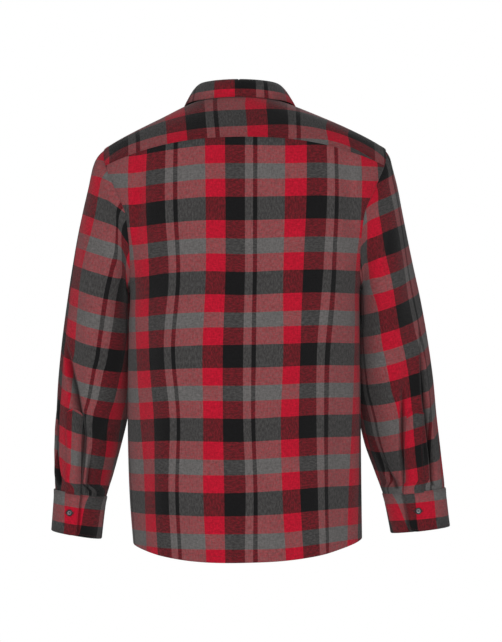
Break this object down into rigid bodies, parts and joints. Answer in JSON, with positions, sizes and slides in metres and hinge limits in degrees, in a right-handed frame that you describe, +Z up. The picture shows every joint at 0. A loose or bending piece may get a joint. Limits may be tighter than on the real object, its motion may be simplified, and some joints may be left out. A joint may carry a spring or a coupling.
{
  "type": "flannel shirt",
  "caption": "Long-sleeved plaid flannel shirt, filled out and hollow, with back yoke, folded collar, buttoned front, sleeve plackets and buttoned cuffs",
  "frame": {"origin": "the middle of the neck at shoulder height, where the wearer holds the shirt up", "axes": "+X to the wearer's right, +Y the way the shirt faces, +Z up along the body"},
  "size_m": [0.669, 0.2632, 0.7872],
  "materials": {
    "flannel_body": "brushed twill flannel in a red, black and grey plaid",
    "flannel_yoke": "brushed twill flannel in a red, black and grey plaid",
    "flannel_sleeve": "brushed twill flannel in a red, black and grey plaid",
    "flannel_trim": "brushed twill flannel, fused and topstitched, in a red, black and grey plaid",
    "button_resin": "dark resin with a soft shine"
  },
  "bodies": {
    "root": {"back": "flannel_body", "yoke": "flannel_yoke", "front_left": "flannel_body", "front_right": "flannel_body", "placket_front": "flannel_trim", "collar_stand": "flannel_trim", "collar_fall": "flannel_trim", "sleeve_left": "flannel_sleeve", "sleeve_right": "flannel_sleeve", "sleeve_placket_left": "flannel_trim", "sleeve_placket_right": "flannel_trim", "cuff_left": "flannel_trim", "cuff_right": "flannel_trim", "button_collar": "button_resin", "button_cuff_left": "button_resin", "button_cuff_right": "button_resin", "button_front_1": "button_resin", "button_front_2": "button_resin", "button_front_3": "button_resin", "button_front_4": "button_resin", "button_front_5": "button_resin", "button_front_6": "button_resin"}
  },
  "joints": []
}
